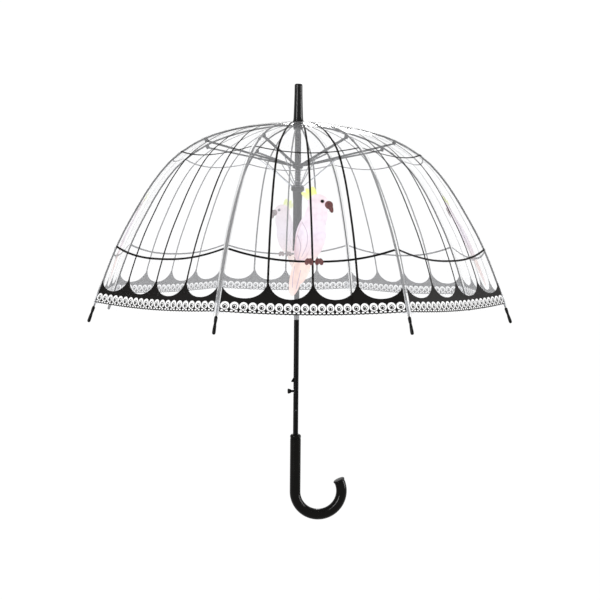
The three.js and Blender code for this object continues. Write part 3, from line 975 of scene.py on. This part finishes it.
class UMBRELLA_OT_rib_tips(bpy.types.Operator):
    """Turns the eight caps on the rib ends"""
    bl_idname = "umbrella.rib_tips"
    bl_label = "Rib tips"

    def execute(self, context):
        profile = [(0.0019, 0.0006), (0.0026, 0.0008), (0.0027, 0.003), (0.0026, 0.0085),
                   (0.0022, 0.0105), (0.0021, 0.0125), (0.0026, 0.0165), (0.0029, 0.0255),
                   (0.0026, 0.0280), (0.0014, 0.0293), (0, 0.0296), (0, 0.0117), (0.0019, 0.0117)]
        radius, height = PROFILE.at(1)
        t = PROFILE.tangent(1)
        for k in range(RIBS):
            a = rib_angle(k)
            out = radius + t[1] * FILM_ABOVE_RIB
            origin = (out * math.cos(a), out * math.sin(a),
                      CROWN_Z + height - t[0] * FILM_ABOVE_RIB)
            made = lathe(f"rib_cap_{k + 1}", rounded(profile, 0.0003), finish("plastic"), 28)
            place(made, origin, (t[0] * math.cos(a), t[0] * math.sin(a), t[1]))
            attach(made, f"rib_end_{k + 1}")
            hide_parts(f"rib_tip_{k + 1}")
        return {"FINISHED"}


class UMBRELLA_OT_handle(bpy.types.Operator):
    """Bends the smooth hook handle and turns its collar, end cap and button"""
    bl_idname = "umbrella.handle"
    bl_label = "Handle"

    def execute(self, context):
        hook = self.hook(context.scene.umbrella_handle.grip_radius)
        step = [(TUBE_HOLE, -0.0083), (0.0099, -0.0083), (0.0099, -0.0066), (0.0106, -0.0062),
                (0.0106, -0.0026), (0.0089, -0.0003), (0.0082, 0), (TUBE_HOLE, 0)]
        collar = lathe("handle_top_collar", raised(rounded(step, 0.0003), CROWN_Z + HANDLE_TOP),
                       finish("grip"))
        cap = lathe("hook_end_cap", rounded([
            (0, 0.0003), (0.0106, 0.0003), (0.0114, 0.0011), (0.0115, 0.0031), (0.0104, 0.0041),
            (0, 0.0045)], 0.0004), finish("grip"))
        a = math.radians(180 + HOOK_SWEEP)
        end = (HOOK_RADIUS * (1 + math.cos(a)), 0,
               CROWN_Z + HOOK_CENTRE + HOOK_RADIUS * math.sin(a))
        place(cap, end, (-math.sin(a), 0, math.cos(a)))
        for made, node in ((hook, "handle"), (collar, "handle_collar"), (cap, "handle_end_cap")):
            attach(made, "shaft")
            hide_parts(node)
        self.button()
        return {"FINISHED"}

    def hook(self, grip_radius):
        """The straight grip and its bend, with a socket for the shaft."""
        top = CROWN_Z + HANDLE_TOP - 0.0086
        centre = CROWN_Z + HOOK_CENTRE
        line = [((0, top - (top - centre) * s), (0, -1)) for s in np.linspace(0, 1, 26)[:-1]]
        for s in np.linspace(0, 1, 90):
            a = math.radians(180 + HOOK_SWEEP * s)
            line.append(((HOOK_RADIUS * (1 + math.cos(a)), centre + HOOK_RADIUS * math.sin(a)),
                         (-math.sin(a), math.cos(a))))
        sides = 48
        vertices, faces = [], []
        for (x, z), (tx, tz) in line:
            for k in range(sides):
                b = 2 * math.pi * k / sides
                out = grip_radius * math.cos(b)
                vertices.append((x - tz * out, grip_radius * math.sin(b), z + tx * out))
        for i in range(len(line) - 1):
            for k in range(sides):
                a, b = i * sides + k, i * sides + (k + 1) % sides
                faces.append((a, b, b + sides, a + sides))
        self.socket(vertices, faces, sides, top)
        last = (len(line) - 1) * sides
        faces.append([last + k for k in range(sides)])
        made = new_object("hook_handle", vertices, faces, [finish("grip")])
        tidy_solid(made, 40)
        return made

    def socket(self, vertices, faces, sides, top):
        """The top edge and the hole that takes the shaft."""
        rings = [0]
        for height in (top, top - 0.05):
            rings.append(len(vertices))
            for k in range(sides):
                b = 2 * math.pi * k / sides
                vertices.append((TUBE_HOLE * math.cos(b), TUBE_HOLE * math.sin(b), height))
        for a, b in zip(rings, rings[1:]):
            for k in range(sides):
                faces.append((a + k, a + (k + 1) % sides, b + (k + 1) % sides, b + k))
        faces.append([rings[-1] + k for k in range(sides)])

    def button(self):
        """The push button, whose shoulder clears the tube when it is pressed."""
        profile = [(0, 0), (0, 0.0131), (0.0034, 0.0129), (0.0046, 0.0123), (0.005, 0.0114),
                   (0.0049, 0.0098), (0.0042, 0.0085), (0.0038, 0.0072), (0.0038, 0.0064),
                   (0.0034, 0.0060), (0.0024, 0.0059), (0.0024, 0)]
        made = lathe("push_button_knob", rounded(profile, 0.0003), finish("plastic"), 40)
        place(made, (-0.0034, 0, CROWN_Z + BUTTON_HEIGHT), (-1, 0, 0))
        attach(made, "catch")
        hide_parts("push_button")


class UMBRELLA_OT_stage(bpy.types.Operator):
    """Sets up the pale floor, the soft lights and the camera"""
    bl_idname = "umbrella.stage"
    bl_label = "Stage"

    def execute(self, context):
        options = context.scene.umbrella_stage
        self.sweep(options.floor_height, options.surround)
        self.surround(context.scene, options.surround)
        self.light("key_light", (-1.7, -2.4, 2.0), 0.34, options.key_power)
        self.light("fill_light", (2.6, -1.8, 1.1), 0.3, options.key_power * 0.45)
        self.light("back_light", (0.4, 2.2, 1.6), 0.6, options.key_power)
        self.strip("left_strip", (-1.9, -2.0, 0.6), options.strip_power)
        self.strip("right_strip", (2.7, -0.3, 0.6), options.strip_power)
        self.camera(context.scene)
        context.scene.view_settings.view_transform = "Standard"
        return {"FINISHED"}

    def sweep(self, floor, glow):
        """A floor that curves up into a backdrop all round, and glows evenly."""
        profile = [(0, floor)] + [(r, floor) for r in np.linspace(0.5, 6.0, 12)]
        profile += [(6 + 1.5 * math.sin(a), floor + 1.5 * (1 - math.cos(a)))
                    for a in np.linspace(0.15, math.pi / 2, 10)]
        profile += [(7.5, floor + h) for h in (3, 5, 8)]
        segments = 96
        turns = [2 * math.pi * k / segments for k in range(segments)]
        vertices = [(r * math.cos(a), r * math.sin(a), z) for r, z in profile for a in turns]
        faces = []
        for i in range(len(profile) - 1):
            for k in range(segments):
                a, b = i * segments + k, i * segments + (k + 1) % segments
                faces.append((a, a + segments, b + segments, b))
        f = Finish("pale_backdrop", roughness=0.9, specular_ior_level=0.0)
        f.set("Base Color", f.blend(f.noise(f.coordinates(), 3, 3), srgb("282828"), srgb("2e2e2e")))
        f.set("Emission Color", srgb("ffffff"))
        f.set("Emission Strength", glow)
        new_object("backdrop_sweep", vertices, faces, [f.material])

    def surround(self, scene, strength):
        world = bpy.data.worlds.new("pale_surround")
        world.use_nodes = True
        background = world.node_tree.nodes["Background"]
        background.inputs[0].default_value = (1, 1, 1, 1)
        background.inputs[1].default_value = strength
        scene.world = world

    def light(self, name, where, size, power):
        data = bpy.data.lights.new(name, "AREA")
        data.shape = "DISK"
        data.size = size
        data.energy = power
        lamp = bpy.data.objects.new(name, data)
        lamp.location = where
        aim = Vector((0, 0, 0.4)) - Vector(where)
        lamp.rotation_euler = aim.to_track_quat("-Z", "Y").to_euler()
        bpy.context.scene.collection.objects.link(lamp)
        return lamp

    def strip(self, name, where, power):
        """A tall, narrow light that only shows in glossy surfaces."""
        lamp = self.light(name, where, 0.4, power)
        lamp.data.shape = "RECTANGLE"
        lamp.data.size_y = 1.8
        lamp.visible_diffuse = False

    def camera(self, scene):
        data = bpy.data.cameras.new("front_camera")
        data.lens = 61.2
        data.sensor_width = 36
        data.shift_x = 0.0055
        data.clip_start = 0.05
        eye = bpy.data.objects.new("front_camera", data)
        turn, pitch, away, roll = 0.0719, -0.0628, 1.9616, 0.0087
        eye.location = (-away * math.sin(turn), -away * math.cos(turn), 0.4452)
        forward = Vector((math.sin(turn) * math.cos(pitch), math.cos(turn) * math.cos(pitch),
                          math.sin(pitch)))
        look = forward.to_track_quat("-Z", "Y")
        eye.rotation_mode = "QUATERNION"
        eye.rotation_quaternion = look @ Quaternion((0, 0, 1), roll)
        scene.collection.objects.link(eye)
        scene.camera = eye


class UMBRELLA_PT_panel(bpy.types.Panel):
    """Shows the umbrella's settings and a button for each step"""
    bl_idname = "UMBRELLA_PT_panel"
    bl_label = "Bubble umbrella"
    bl_space_type = "VIEW_3D"
    bl_region_type = "UI"
    bl_category = "Umbrella"

    def draw(self, context):
        for group_name in GROUPS:
            group = getattr(context.scene, group_name)
            for name in group.bl_rna.properties.keys():
                if name not in ("rna_type", "name"):
                    self.layout.prop(group, name)
        for operator in STEPS:
            self.layout.operator(operator.bl_idname)


STEPS = (UMBRELLA_OT_stage, UMBRELLA_OT_frame, UMBRELLA_OT_canopy, UMBRELLA_OT_ferrule,
         UMBRELLA_OT_rib_tips, UMBRELLA_OT_handle)
GROUPS = {
    "umbrella_canopy": UmbrellaCanopySettings,
    "umbrella_finish": UmbrellaFinishSettings,
    "umbrella_handle": UmbrellaHandleSettings,
    "umbrella_stage": UmbrellaStageSettings,
}


def register():
    for cls in (*GROUPS.values(), *STEPS, UMBRELLA_PT_panel):
        bpy.utils.register_class(cls)
    for name, group in GROUPS.items():
        setattr(bpy.types.Scene, name, bpy.props.PointerProperty(type=group))


def unregister():
    for name in GROUPS:
        delattr(bpy.types.Scene, name)
    for cls in (UMBRELLA_PT_panel, *reversed(STEPS), *reversed(list(GROUPS.values()))):
        bpy.utils.unregister_class(cls)


def main():
    register()
    for step in STEPS:
        group, name = step.bl_idname.split(".")
        getattr(getattr(bpy.ops, group), name)()


if __name__ == "__main__":
    main()
